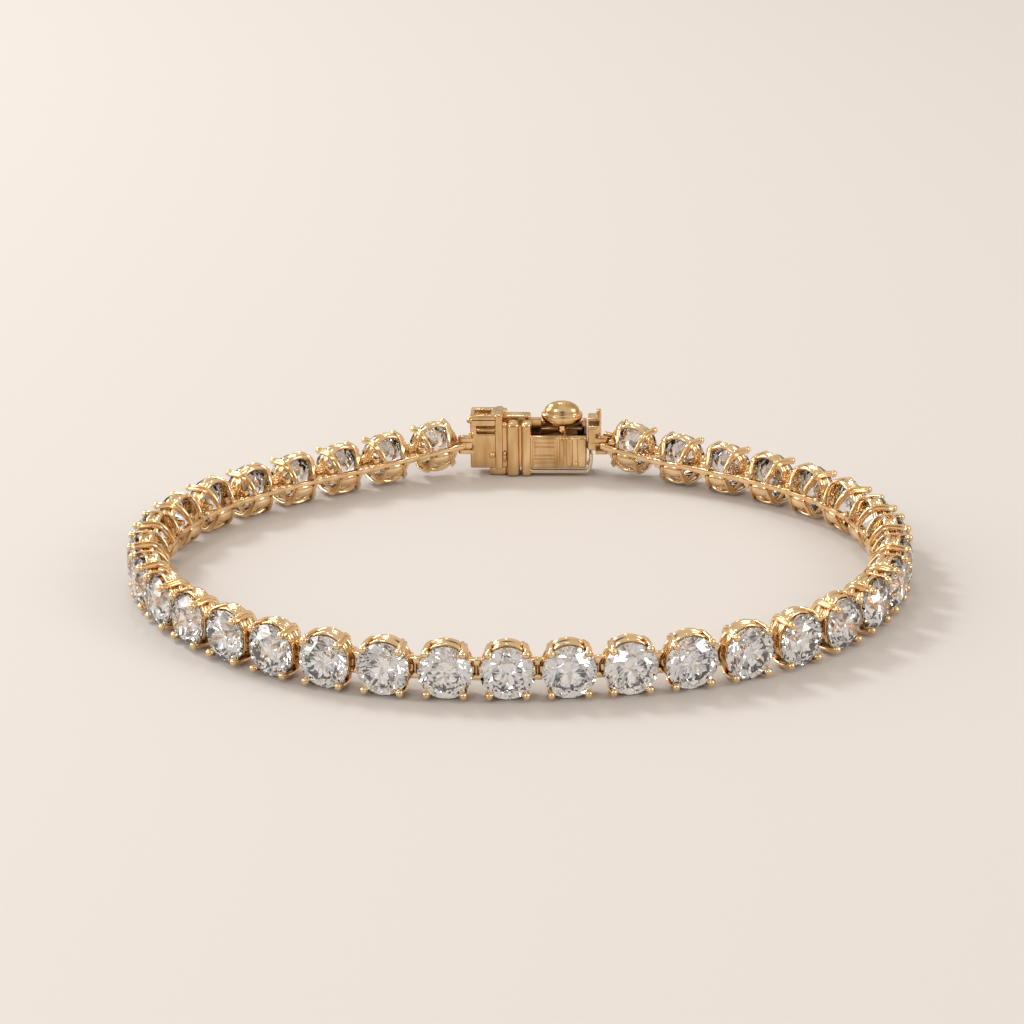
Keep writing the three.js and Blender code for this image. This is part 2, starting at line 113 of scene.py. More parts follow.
def roundedBlock(low, high, radius, steps=3):
    # a ball of that radius pulled apart to the box's corners: each point is the corner of the inner
    # box on its own side plus radius * (cos b cos a, cos b sin a, sin b)
    low, high = np.asarray(low, float), np.asarray(high, float)
    quarter = np.linspace(0, np.pi / 2, steps + 1)
    a = np.concatenate([quarter + k * np.pi / 2 for k in range(4)])
    sideX = np.repeat([1, -1, -1, 1], steps + 1)
    sideY = np.repeat([1, 1, -1, -1], steps + 1)
    b = np.concatenate([quarter - np.pi / 2, quarter])
    sideZ = np.repeat([-1, 1], steps + 1)
    half = (high - low) / 2 - radius
    x = sideX * half[0] + radius * np.cos(b)[:, None] * np.cos(a)
    y = sideY * half[1] + radius * np.cos(b)[:, None] * np.sin(a)
    z = (sideZ * half[2] + radius * np.sin(b))[:, None] + 0 * x
    return gridShape(np.stack([x, y, z], axis=-1) + (low + high) / 2)


def turned(profile, around, ring=True, oval=1.0):
    # profile of (radius, height), turned about Z: (r cos a, oval * r sin a, h)
    profile = np.asarray(profile, float)
    angle = np.arange(around) * 2 * np.pi / around
    radius, height = profile[:, 0][:, None], profile[:, 1][:, None]
    rows = np.stack([radius * np.cos(angle), oval * radius * np.sin(angle), height + 0 * angle],
                    axis=-1)
    return gridShape(rows, ring)


def dome(centre, radius, squash=(1, 1, 1), rings=7, around=14):
    # centre + radius * (cos b cos a, cos b sin a, sin b), stretched along each axis by squash
    b = np.linspace(-np.pi / 2, np.pi / 2, rings + 2)[1:-1]
    ball = turned(np.stack([np.cos(b), np.sin(b)], axis=1), around, ring=False)
    points = ball[0].copy()
    points[-2:] = [[0, 0, -1], [0, 0, 1]]
    return points * radius * np.asarray(squash) + centre, ball[1], ball[2]


def tubeAlong(path, radii, sides, lean=(0.35, 0.2, 0.9)):
    # at each path point a circle across the tangent T: the sideways axis is T x lean, the other
    # is sideways x T, and the point at angle a is path + r (cos a * sideways + sin a * other)
    path = np.asarray(path, float)
    tangent = np.gradient(path, axis=0)
    tangent /= np.linalg.norm(tangent, axis=1)[:, None]
    sideways = np.cross(tangent, np.asarray(lean))
    sideways /= np.linalg.norm(sideways, axis=1)[:, None]
    other = np.cross(sideways, tangent)
    a = np.arange(sides) * 2 * np.pi / sides
    spokes = (np.cos(a)[None, :, None] * sideways[:, None, :]
              + np.sin(a)[None, :, None] * other[:, None, :])
    radii = np.broadcast_to(radii, len(path))[:, None, None]
    return gridShape(path[:, None, :] + radii * spokes)


def prismUp(outline, low, high, inset):
    # an outline in (x, y) carried up from low to high, drawn in by inset at both ends
    outline = np.asarray(outline, float)
    middle = outline.mean(axis=0)
    reach = np.abs(outline - middle).max()
    heights = np.array([low, low + inset, high - inset, high])
    shares = np.array([1 - inset / reach, 1, 1, 1 - inset / reach])[:, None, None]
    flat = middle + (outline - middle)[None] * shares
    raised = np.broadcast_to(heights[:, None, None], (*flat.shape[:2], 1))
    return gridShape(np.concatenate([flat, raised], axis=2))


def makePiece(name, shape, material, body, replaced, weighted=False, inside=None):
    # one mesh in metres, its doubled points merged, smooth where faces meet below smoothBelow;
    # inside is a second shape of the same piece with a material of its own
    mesh = bpy.data.meshes.new(name)
    mesh.materials.append(material)
    shapes = [shape]
    if inside:
        shapes.append(inside[0])
        mesh.materials.append(inside[1])
    points, quads, tris = together(shapes)
    mesh.from_pydata((points * millimetre).tolist(), [], quads.tolist() + tris.tolist())
    owner = [np.repeat(np.arange(len(shapes)), [len(s[k]) for s in shapes]) for k in (1, 2)]
    mesh.polygons.foreach_set("material_index", np.concatenate(owner))
    work = bmesh.new()
    work.from_mesh(mesh)
    bmesh.ops.remove_doubles(work, verts=work.verts, dist=1e-7)
    bmesh.ops.dissolve_degenerate(work, edges=work.edges, dist=1e-7)
    work.to_mesh(mesh)
    work.free()
    mesh.polygons.foreach_set("use_smooth", np.ones(len(mesh.polygons), bool))
    mesh.set_sharp_from_angle(angle=np.radians(smoothBelow))
    piece = bpy.data.objects.new(name, mesh)
    bpy.context.scene.collection.objects.link(piece)
    if weighted:
        even = piece.modifiers.new("even shading", "WEIGHTED_NORMAL")
        even.keep_sharp = True
    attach(piece, body)
    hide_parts(*replaced)


def newMaterial(name):
    # a material with nodes, and its tree's nodes, links and shader
    material = bpy.data.materials.new(name)
    material.use_nodes = True
    nodes = material.node_tree.nodes
    return material, nodes, material.node_tree.links, nodes["Principled BSDF"]


def noiseNode(nodes, scale, detail):
    # a noise texture with its scale and its detail set
    noise = nodes.new("ShaderNodeTexNoise")
    noise.inputs["Scale"].default_value = scale
    noise.inputs["Detail"].default_value = detail
    return noise


goldGrain = {
    "patchDetail": 3.0, "hazeDetail": 4.0, "rippleDetail": 2.0, "patchFrom": 0.3, "patchTo": 0.72,
}


def goldMaterial(name, look):
    # polished gold: colour drifts a little in patches, roughness follows handling haze, and a
    # faint ripple stands for hand polishing; drawn stretches all three along the metal's grain
    material, nodes, links, shader = newMaterial(name)
    shader.inputs["Metallic"].default_value = 1.0
    place = nodes.new("ShaderNodeTexCoord")
    patches = noiseNode(nodes, look["patchScale"], goldGrain["patchDetail"])
    colours = nodes.new("ShaderNodeValToRGB")
    deep, bright = colours.color_ramp.elements
    deep.color, bright.color = (*look["deep"], 1), (*look["bright"], 1)
    deep.position, bright.position = goldGrain["patchFrom"], goldGrain["patchTo"]
    haze = noiseNode(nodes, look["hazeScale"], goldGrain["hazeDetail"])
    spread = nodes.new("ShaderNodeMapRange")
    spread.inputs["To Min"].default_value, spread.inputs["To Max"].default_value = look["polish"]
    ripple = noiseNode(nodes, look["rippleScale"], goldGrain["rippleDetail"])
    bump = nodes.new("ShaderNodeBump")
    bump.inputs["Strength"].default_value = look["ripple"]
    bump.inputs["Distance"].default_value = look["rippleDepth"]
    drawn = nodes.new("ShaderNodeMapping")
    drawn.inputs["Scale"].default_value = look["drawn"]
    links.new(place.outputs["Object"], drawn.inputs["Vector"])
    for texture in (patches, haze, ripple):
        links.new(drawn.outputs["Vector"], texture.inputs["Vector"])
    links.new(patches.outputs["Fac"], colours.inputs["Fac"])
    links.new(colours.outputs["Color"], shader.inputs["Base Color"])
    links.new(haze.outputs["Fac"], spread.inputs["Value"])
    links.new(spread.outputs["Result"], shader.inputs["Roughness"])
    links.new(ripple.outputs["Fac"], bump.inputs["Height"])
    links.new(bump.outputs["Normal"], shader.inputs["Normal"])
    return material


def stoneMaterial(name, look):
    # clear stone of high index; every facet takes a faint tint of its own from its direction,
    # which stands for the colour that a real stone splits off
    material, nodes, links, shader = newMaterial(name)
    shader.inputs["Transmission Weight"].default_value = 1.0
    shader.inputs["IOR"].default_value = look["index"]
    shader.inputs["Roughness"].default_value = look["polish"]
    place = nodes.new("ShaderNodeTexCoord")
    facet = nodes.new("ShaderNodeTexWhiteNoise")
    facet.noise_dimensions = "3D"
    snap = nodes.new("ShaderNodeVectorMath")
    snap.operation = "SNAP"
    snap.inputs[1].default_value = (look["facetStep"],) * 3
    tint = nodes.new("ShaderNodeValToRGB")
    cool, warm = tint.color_ramp.elements
    cool.color, warm.color = (*look["cool"], 1), (*look["warm"], 1)
    tint.color_ramp.elements.new(0.5).color = (*look["clear"], 1)
    links.new(place.outputs["Normal"], snap.inputs[0])
    links.new(snap.outputs["Vector"], facet.inputs["Vector"])
    links.new(facet.outputs["Value"], tint.inputs["Fac"])
    links.new(tint.outputs["Color"], shader.inputs["Base Color"])
    return material


settingGold = goldMaterial("setting gold", {
    "deep": (0.80, 0.54, 0.28), "bright": (0.94, 0.71, 0.43), "patchScale": 450,
    "polish": (0.07, 0.18), "hazeScale": 900,
    "ripple": 0.18, "rippleScale": 2600, "rippleDepth": 0.00003, "drawn": (1.0, 1.0, 1.0)})
claspGold = goldMaterial("clasp gold", {
    "deep": (0.56, 0.32, 0.125), "bright": (0.95, 0.70, 0.39), "patchScale": 900,
    "polish": (0.1, 0.26), "hazeScale": 1200,
    "ripple": 0.5, "rippleScale": 620, "rippleDepth": 0.00016, "drawn": (1.0, 1.0, 0.22)})
# painted shade: a near-black brown gold whose dark colour stands for the shade deep inside the
# clasp
paintedShadeGold = goldMaterial("painted shade gold", {
    "deep": (0.12, 0.065, 0.025), "bright": (0.3, 0.17, 0.07), "patchScale": 700,
    "polish": (0.3, 0.5), "hazeScale": 900,
    "ripple": 0.3, "rippleScale": 1500, "rippleDepth": 0.00005, "drawn": (0.3, 1.0, 1.0)})
wireGold = goldMaterial("wire gold", {
    "deep": (0.86, 0.68, 0.48), "bright": (0.96, 0.83, 0.66), "patchScale": 500,
    "polish": (0.10, 0.2), "hazeScale": 1100,
    "ripple": 0.12, "rippleScale": 3200, "rippleDepth": 0.00002, "drawn": (1.0, 1.0, 1.0)})
clearStone = stoneMaterial("clear stone", {
    "index": 2.417, "polish": 0.0, "facetStep": 0.02,
    "cool": (0.90, 0.94, 1.0), "clear": (1.0, 1.0, 1.0), "warm": (1.0, 0.95, 0.88)})
print("materials made")


loop = {
    "radius": 28.038,
    "cosines": (-0.08837, -0.0157, 0.01339, -0.00902),
    "sines": (-0.00514, 0.00275, -0.00146, -0.00598),
    "links": 35, "pitch": 4.7, "frontShift": -0.086, "height": 2.28,
    "liftLeft": (1.0, 0.42, 0.1), "liftRight": (1.0, 0.25, 0.05),
    "shift": (0.2333, -0.32585, 0.0),
}


def hingePoints():
    # radius at angle a from the front: mean * (1 + the sum over n from 2 of cosine_n cos na +
    # sine_n sin na); the hinges are one pitch apart along that curve, half of them on either side
    a = np.linspace(-np.pi, np.pi, 40001)
    turns = np.arange(2, 6)[:, None] * a
    radius = loop["radius"] * (1 + loop["cosines"] @ np.cos(turns) + loop["sines"] @ np.sin(turns))
    x, y = radius * np.sin(a), -radius * np.cos(a)
    run = np.concatenate([[0], np.cumsum(np.hypot(np.diff(x), np.diff(y)))])
    run -= run[len(run) // 2]
    along = (np.arange(loop["links"] + 1) - loop["links"] / 2) * loop["pitch"] + loop["frontShift"]
    height = np.full(len(along), loop["height"])
    points = np.stack([np.interp(along, run, x), np.interp(along, run, y), height], axis=1)
    points[:3, 2] += loop["liftLeft"]
    points[-3:, 2] += loop["liftRight"][::-1]
    return points + loop["shift"]


hinges = hingePoints()


def linkFrames():
    # X along the chord between two hinges, Y = up x X (inward), Z = X x Y; the origin halfway
    along = np.diff(hinges, axis=0)
    along /= np.linalg.norm(along, axis=1)[:, None]
    inward = np.cross([0, 0, 1], along)
    inward /= np.linalg.norm(inward, axis=1)[:, None]
    rise = np.cross(along, inward)
    return np.stack([along, inward, rise], axis=2), (hinges[:-1] + hinges[1:]) / 2


linkAxes, linkOrigins = linkFrames()
print("hinge line:", len(hinges), "points")


gallery = {
    # (radius, depth) round the section: the rear rail, the neck, the front rail and the inner wall
    "profile": [(2.16, 0.5), (2.28, 0.55), (2.36, 0.68), (2.36, 0.82), (2.28, 0.93), (2.14, 0.98),
                (2.03, 1.1), (2.02, 1.3), (2.1, 1.42), (2.21, 1.46), (2.28, 1.56), (2.27, 1.7),
                (2.18, 1.78), (2.02, 1.76), (1.92, 1.6), (1.9, 1.1), (1.98, 0.62)],
    "steps": 2, "around": 48, "narrow": 0.915, "rise": 0.08,
}
prong = {
    # (x, z, depth) from the foot on the base bar, over the rails, to the tip beside the stone
    "path": [(0.86, 0.3, -0.56), (0.98, 0.72, -0.42), (1.16, 1.28, -0.1), (1.3, 1.7, 0.24),
             (1.39, 1.93, 0.66), (1.46, 1.96, 1.15), (1.53, 1.92, 1.65), (1.57, 1.87, 2.05),
             (1.54, 1.8, 2.32), (1.47, 1.73, 2.46)],
    "halfWidth": (0.2, 0.25, 0.29, 0.31, 0.32, 0.32, 0.32, 0.31, 0.29, 0.25),
    "halfThick": 0.17, "groove": 0.8, "grooveWidth": 0.22,
    "steps": 2, "sides": 20,
    "beadRadius": 0.34, "beadDepth": 2.5,
}
base = {
    # name: (x from, to), (depth from, to), (z from, to), corner radius
    "blocks": {
        "bar": ((-1.25, 1.25), (-0.72, -0.2), (-0.2, 0.24), 0.13),
        "rail right": ((1.0, 2.26), (-0.66, -0.2), (-0.3, 0.26), 0.14),
        "rail left": ((-2.26, -1.0), (-0.65, -0.21), (-0.29, 0.25), 0.14),
    },
    # cup and boss: (x, depth, z), radius and stretch
    "knobs": [((0, -0.3, -0.58), 1.06, (1.0, 0.4, 0.62)),
              ((2.33, -0.5, 0.04), 0.3, (0.9, 0.8, 1.15))],
    "rings": 8, "around": 18,
}
hinge = {
    "blocks": {
        "top bar": ((1.5, 2.86), (0.7, 1.33), (0.38, 0.88), 0.08),
        "bottom bar": ((1.5, 2.85), (0.71, 1.32), (-0.88, -0.38), 0.08),
        "web": ((1.4, 2.2), (0.66, 1.24), (-0.3, 0.3), 0.05),
        "core": ((1.9, 2.7), (0.6, 0.84), (-0.6, 0.6), 0.05),
        "middle": ((-2.26, -1.4), (0.62, 1.27), (-0.3, 0.3), 0.07),
        "stay top": ((1.3, 1.9), (-0.3, 0.9), (0.3, 0.72), 0.12),
        "stay bottom": ((1.31, 1.9), (-0.3, 0.9), (-0.72, -0.3), 0.12),
    },
    "pinDepth": 1.0, "pinRadius": 0.14, "pinHigh": 0.88, "pinSides": 12,
    "headRings": 4, "headSquash": (1, 1, 0.3),
}


def galleryShape():
    # the two rails under the girdle: one closed outline with two humps, turned about the stone's
    # axis, drawn in along the chain by narrow and set a little high
    outline = curveThrough(gallery["profile"], gallery["steps"], closed=True)
    axes = [[gallery["narrow"], 0, 0], [0, 0, -1], [0, 1, 0]]
    return placed(turned(outline, gallery["around"]), axes, [0, 0, gallery["rise"]])


def prongShape(across, rise):
    # along the path with tangent T the width runs along W = T x R, R pointing away from the
    # stone's axis, and the thickness along N = W x T; the section at s round it is (w cos s) W +
    # (t sin s (1 - groove * exp(-(cos s / grooveWidth)^2))) N, grooved on its outer side only
    knots = np.array(prong["path"])[:, [0, 2, 1]] * (across, -1, rise)
    path = curveThrough(knots, prong["steps"])
    given = np.linspace(0, 1, len(prong["halfWidth"]))
    width = np.interp(np.linspace(0, 1, len(path)), given, prong["halfWidth"])
    tangent = np.gradient(path, axis=0)
    tangent /= np.linalg.norm(tangent, axis=1)[:, None]
    wide = np.cross(tangent, path * (1, 0, 1))
    wide /= np.linalg.norm(wide, axis=1)[:, None]
    out = np.cross(wide, tangent)
    s = np.arange(prong["sides"]) * 2 * np.pi / prong["sides"]
    cleft = 1 - prong["groove"] * np.exp(-(np.cos(s) / prong["grooveWidth"]) ** 2)
    thick = prong["halfThick"] * np.sin(s) * np.where(np.sin(s) > 0, cleft, 1)
    rows = (path[:, None, :] + (width[:, None] * np.cos(s))[:, :, None] * wide[:, None, :]
            + thick[None, :, None] * out[:, None, :])
    tip = path[-1]
    bead = dome((tip[0], -prong["beadDepth"], tip[2]), prong["beadRadius"])
    return together([gridShape(rows), bead])


def baseShape():
    # a bar across the basket's foot, a rail to either side, a cup below and a boss at the hinge
    knobs = [dome((x, -d, z), radius, stretch, base["rings"], base["around"])
             for (x, d, z), radius, stretch in base["knobs"]]
    return together([*knobs, *linkBlocks(base["blocks"])])


def linkBlocks(blocks):
    # depth runs outward from the hinge line, which is -Y in a link
    return [roundedBlock([x[0], -d[1], z[0]], [x[1], -d[0], z[1]], radius, 2)
            for x, d, z, radius in blocks.values()]


def hingeShapes():
    # two outer bars on the +X side, the middle one on the -X side, and the pin with two heads
    pin, depth, high = loop["pitch"] / 2, hinge["pinDepth"], hinge["pinHigh"]
    ends = [(pin, -depth, -high), (pin, -depth, high)]
    radius, sides = hinge["pinRadius"], hinge["pinSides"]
    heads = [dome(end, radius, hinge["headSquash"], hinge["headRings"], sides) for end in ends]
    return [*linkBlocks(hinge["blocks"]), tubeAlong(ends, radius, sides), *heads]


def chainShape(first, last):
    # the same setting placed at every link from first to last
    quarters = [(1, 1), (1, -1), (-1, 1), (-1, -1)]
    setting = together([galleryShape(), baseShape(), *hingeShapes(),
                        *[prongShape(*quarter) for quarter in quarters]])
    return together([placed(setting, linkAxes[k], linkOrigins[k]) for k in range(first, last + 1)])


makePiece("setting_line_left", chainShape(0, 17), settingGold, "bracelet",
          ["setting_chain_left"])
makePiece("setting_line_right", chainShape(18, 34), settingGold, "bracelet",
          ["setting_chain_right"])
print("settings made")


# the stones are the solids themselves, in clear stone
for name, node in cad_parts.items():
    if name.startswith("stone_"):
        node.data.materials.clear()
        node.data.materials.append(clearStone)


# clasp sizes: X from its middle, depth outward from the hinge line, Z from the floor
claspOrigin = np.array([loop["shift"][0], (hinges[0][1] + hinges[-1][1]) / 2, 0])
hingeX = (hinges[-1][0] - hinges[0][0]) / 2
hingeZ = hinges[0][2]
claspBox = {
    # name: (x from, to), (depth from, to), (z from, to), corner radius
    "end block": ((-5.9, -3.4), (0.3, 3.0), (0.85, 4.2), 0.14),
    "slot back": ((-5.86, -3.4), (0.95, 2.98), (4.0, 5.1), 0.04),
    "slot left post": ((-5.89, -5.3), (0.31, 1.3), (3.9, 5.2), 0.1),
    "slot lintel": ((-5.9, -3.4), (0.3, 2.99), (4.95, 5.72), 0.12),
    "slot bar": ((-5.4, -3.5), (0.44, 1.3), (4.32, 4.72), 0.17),
    "recess left": ((-5.9, -5.52), (0.36, 2.94), (5.4, 5.98), 0.1),
    "recess right": ((-4.0, -3.4), (0.36, 2.94), (5.4, 5.99), 0.1),
    "recess front": ((-5.88, -3.4), (0.3, 0.72), (5.4, 6.0), 0.12),
    "recess rear": ((-5.86, -3.4), (2.3, 3.0), (5.4, 6.01), 0.12),
    "rib": ((-3.6, -2.86), (0.16, 3.12), (0.73, 6.1), 0.2),
    "rib step": ((-3.1, -2.5), (1.9, 3.05), (4.6, 5.95), 0.16),
    "lug": ((-4.15, -2.5), (0.6, 2.7), (0.04, 1.0), 0.24),
    "shoulder": ((-3.2, -1.1), (0.5, 2.9), (0.9, 4.95), 0.08),
    "shoulder rear": ((-2.9, -0.3), (1.7, 3.05), (4.5, 5.55), 0.2),
    "flute left": ((-2.54, -1.3), (0.12, 2.6), (0.02, 5.28), 0.4),
    "flute right": ((-1.14, -0.16), (0.14, 2.6), (0.06, 5.26), 0.36),
    "floor": ((-0.6, 4.95), (0.32, 2.98), (0.85, 1.28), 0.08),
    "inner wall": ((-0.6, 4.95), (0.3, 0.72), (0.85, 4.0), 0.14),
    "outer wall": ((-0.6, 4.94), (2.58, 3.0), (0.86, 4.05), 0.1),
    "outer rim": ((-0.5, 4.92), (2.86, 3.0), (3.8, 4.7), 0.05),
    "outer post left": ((-1.0, 0.7), (2.4, 2.99), (3.5, 5.05), 0.12),
    "outer post right": ((4.5, 4.93), (2.3, 2.99), (3.5, 4.98), 0.1),
    "ear tab": ((-6.34, -5.7), (-0.28, 0.34), (2.98, 3.58), 0.08),
    "end column": ((4.06, 4.96), (0.18, 0.75), (0.9, 3.94), 0.22),
    "column one": ((2.4, 2.9), (0.2, 0.7), (0.95, 3.93), 0.18),
    "column two": ((3.0, 3.7), (0.19, 0.7), (0.96, 3.92), 0.2),
    "panel top": ((-0.1, 2.3), (0.23, 0.7), (3.3, 3.9), 0.14),
    "panel left": ((-0.12, 0.16), (0.24, 0.7), (0.98, 3.7), 0.12),
    "panel right": ((1.9, 2.26), (0.24, 0.7), (0.98, 3.7), 0.12),
    "panel foot": ((-0.1, 2.28), (0.25, 0.7), (0.95, 1.2), 0.1),
}
claspRidges = {
    "left": 0.1, "right": 2.0, "depth": 0.3, "heights": (1.42, 1.75, 2.12, 2.95),
    "radius": 0.085, "sides": 10,
}
claspBeads = [
    # x, depth, z, radius, stretch
    (-3.86, 0.26, 2.15, 0.3, (1, 0.7, 1)),
    (-2.7, 0.3, 1.95, 0.24, (0.8, 0.8, 2.3)),
    (-2.7, 0.36, 5.1, 0.28, (1, 1, 1)),
    (-5.92, 0.46, 5.5, 0.3, (1, 1, 1)),
    (-5.78, 0.34, 4.2, 0.26, (1, 0.7, 1)),
    (3.9, 0.3, 1.22, 0.22, (1, 0.7, 1)),
]
beadRings, beadSides = 9, 18
claspFork = {
    # ears from inner to outer above and below the hinge line, and the chain's eye between them
    "inner": 0.38, "outer": 0.8, "radius": 0.42, "edge": 0.06,
    "eyeReach": 0.95, "eyeRadius": 0.37, "eyeGap": 0.08, "eyeEdge": 0.05,
    "pinRadius": 0.2, "pinSides": 14, "pinOver": 0.02, "headSquash": (1, 1, 0.5),
    "rootLeft": -5.6, "rootRight": 5.8,
}
barrel = {
    "x": -0.55, "z": 0.5, "radius": 0.42, "bore": 0.28, "from": 0.95, "to": 2.35, "around": 24,
}


def claspPlaced(shape):
    # depth runs outward, which is +Y at the clasp
    points, quads, tris = shape
    return points + claspOrigin, quads, tris


def blockShapes(blocks):
    # here x, depth and z are the clasp's own axes
    return [roundedBlock([x[0], d[0], z[0]], [x[1], d[1], z[1]], radius)
            for x, d, z, radius in blocks.values()]


def earOutline(root, pin, radius):
    # in (x, depth): straight from the root, then half round about the pin
    side = np.sign(pin - root)
    a = np.linspace(-np.pi / 2, np.pi / 2, 11)
    x = np.concatenate([[root], pin + side * radius * np.cos(a), [root]])
    depth = np.concatenate([[-radius], radius * np.sin(a), [radius]])
    return np.stack([x, depth], axis=1)


def forkShapes(root, pin):
    # two ears above and below the chain's own eye, with a pin through all three
    inner, outer, edge = (claspFork[key] for key in ("inner", "outer", "edge"))
    ear = earOutline(root, pin, claspFork["radius"])
    eyeRoot = pin + claspFork["eyeReach"] * np.sign(pin - root)
    eye = earOutline(eyeRoot, pin, claspFork["eyeRadius"])
    eyeHalf, pinHalf = inner - claspFork["eyeGap"], outer + claspFork["pinOver"]
    pinPath = [(pin, 0, hingeZ - pinHalf), (pin, 0, hingeZ + pinHalf)]
    heads = [dome((pin, 0, z), claspFork["pinRadius"], claspFork["headSquash"])
             for z in (hingeZ + outer, hingeZ - outer)]
    return [
        prismUp(ear, hingeZ + inner, hingeZ + outer, edge),
        prismUp(ear, hingeZ - outer, hingeZ - inner, edge),
        prismUp(eye, hingeZ - eyeHalf, hingeZ + eyeHalf, claspFork["eyeEdge"]),
        tubeAlong(pinPath, claspFork["pinRadius"], claspFork["pinSides"]),
        *heads,
    ]


def acrossDepth(shape, x=0, z=0):
    # a shape drawn up Z is laid along the depth: (x, y, z) goes to (x, z, y), then moved
    return placed(shape, [[1, 0, 0], [0, 0, 1], [0, 1, 0]], [x, 0, z])


def claspBoxShape():
    # the blocks, the ridges on the inner face, the beads, the catch's barrel and the left fork
    left, right, depth = (claspRidges[key] for key in ("left", "right", "depth"))
    ridges = [tubeAlong([(left, depth, z), (right, depth, z)], claspRidges["radius"],
                        claspRidges["sides"]) for z in claspRidges["heights"]]
    beads = [dome((x, d, z), radius, stretch, beadRings, beadSides)
             for x, d, z, radius, stretch in claspBeads]
    bore, radius, start, end = (barrel[key] for key in ("bore", "radius", "from", "to"))
    hollow = turned([(bore, start), (radius, start), (radius, end), (bore, end)], barrel["around"])
    return together([*blockShapes(claspBox), *ridges, *beads,
                     acrossDepth(hollow, barrel["x"], barrel["z"]),
                     *forkShapes(claspFork["rootLeft"], -hingeX)])


# painted shade: dark sheets over the floor, the sides and the left end of the case's hollow, in the
# painted shade gold
claspShadeLining = {
    "floor": ((-0.55, 4.9), (0.6, 2.7), (1.1, 1.34), 0.04),
    "inner side": ((-0.55, 4.9), (0.6, 0.76), (1.1, 3.86), 0.03),
    "outer side": ((-0.55, 4.9), (2.54, 2.7), (1.1, 3.9), 0.03),
    "left end": ((-1.2, -0.5), (0.6, 2.7), (1.1, 4.4), 0.03),
}
# the case's hollow is lined with painted shade
makePiece("clasp_case", claspPlaced(claspBoxShape()), claspGold, "bracelet",
          ["clasp_box"], weighted=True,
          inside=(claspPlaced(together(blockShapes(claspShadeLining))), paintedShadeGold))

claspTongue = {
    "end plate": ((5.05, 6.28), (0.3, 3.0), (2.62, 4.97), 0.14),
    "plate step": ((5.06, 6.27), (1.3, 2.99), (3.2, 5.45), 0.13),
    "plate tip": ((5.85, 6.3), (2.3, 2.98), (3.4, 5.92), 0.16),
    "plate face": ((5.14, 6.16), (0.22, 0.6), (3.3, 4.8), 0.12),
}
tongueBead = {"centre": (6.0, 2.3, 5.2), "radius": 0.3}
tongueBlade = {
    "blade": ((-1.8, 5.3), (0.95, 2.35), (2.62, 2.9), 0.06),
}
claspLeaf = {
    "low": (-1.6, 2.86), "high": (4.1, 3.95), "thick": 0.3, "from": 0.92, "to": 2.38, "edge": 0.05,
}


def leafShape():
    # a thin strip from the blade's tip up to the button: the four corners low and high, half a
    # thickness to either side of the line between them, carried across in depth
    low, high = np.array(claspLeaf["low"]), np.array(claspLeaf["high"])
    along = (high - low) / np.linalg.norm(high - low)
    across = np.array([-along[1], along[0]]) * claspLeaf["thick"] / 2
    outline = np.array([low - across, high - across, high + across, low + across])
    return acrossDepth(prismUp(outline, claspLeaf["from"], claspLeaf["to"], claspLeaf["edge"]))


# painted shade: the blade and the leaf spring sit inside the case and take the painted shade gold
tongueSpring = claspPlaced(together([*blockShapes(tongueBlade), leafShape()]))
plateBead = dome(tongueBead["centre"], tongueBead["radius"], (1, 1, 1), beadRings, beadSides)
makePiece("clasp_end", claspPlaced(together([*blockShapes(claspTongue), plateBead,
                                             *forkShapes(claspFork["rootRight"], hingeX)])),
          claspGold, "bracelet", ["clasp_tongue"], weighted=True,
          inside=(tongueSpring, paintedShadeGold))

thumbPiece = {
    "x": 2.65, "depth": 1.65, "z": 4.72, "radius": 1.95, "oval": 0.68, "around": 56,
    # (share of the radius, height), from the underside round the lip and up the dome
    "profile": [(0.3, 0.0), (0.5, 0.04), (0.74, 0.2), (0.9, 0.46), (0.985, 0.78), (1.0, 0.98),
                (0.985, 1.14), (0.93, 1.22), (0.885, 1.24), (0.86, 1.32), (0.85, 1.46),
                (0.78, 1.72), (0.64, 1.98), (0.44, 2.18), (0.24, 2.27), (0.06, 2.3)],
    "stemRadius": 0.42, "stemFoot": 3.42, "stemInto": 0.2, "stemSides": 20,
}


def thumbShape():
    # the dome's profile turned about Z, its depth shortened to an oval, on a round stem
    profile = np.array(thumbPiece["profile"]) * (thumbPiece["radius"], 1)
    cap = turned(profile, thumbPiece["around"], ring=False, oval=thumbPiece["oval"])
    x, d, z = thumbPiece["x"], thumbPiece["depth"], thumbPiece["z"]
    path = [(x, d, thumbPiece["stemFoot"]), (x, d, z + thumbPiece["stemInto"])]
    stem = tubeAlong(path, thumbPiece["stemRadius"], thumbPiece["stemSides"])
    return together([(cap[0] + (x, d, z), cap[1], cap[2]), stem])


makePiece("thumb_button", claspPlaced(thumbShape()), claspGold, "button",
          ["push_button"])

safetyWire = {
    "radius": 0.18, "sides": 14, "steps": 5,
    # (x, z) of the barrel and of the upturned end, the two runs' depths, the bends and the tips
    "pivot": (-0.55, 0.5), "cross": (5.36, 2.16), "near": 0.48, "far": 2.82,
    "bend": 0.5, "tip": 0.77,
}


def safetyShape():
    # a round wire through the knots of the bail: barrel, run, upturned end, and back on the far
    # side; in the bends the knots lie at shares of bend before and after each corner
    px, pz = safetyWire["pivot"]
    cx, cz = safetyWire["cross"]
    bend, near, far, tip = (safetyWire[key] for key in ("bend", "near", "far", "tip"))

    def side(depth, step):
        return [(px, depth + step, pz), (px, depth, pz), (px + bend, depth, pz),
                (cx - 2 * bend, depth, pz), (cx - bend / 2, depth, pz + bend / 4),
                (cx, depth, pz + 2 * bend), (cx, depth, cz - bend / 4),
                (cx, depth + np.sign(step) * bend / 2, cz)]

    knots = side(near, tip) + side(far, -tip)[::-1]
    path = curveThrough(knots, safetyWire["steps"])
    return tubeAlong(path, safetyWire["radius"], safetyWire["sides"])


makePiece("safety_wire", claspPlaced(safetyShape()), wireGold, "catch",
          ["safety_catch"])
print("clasp made")


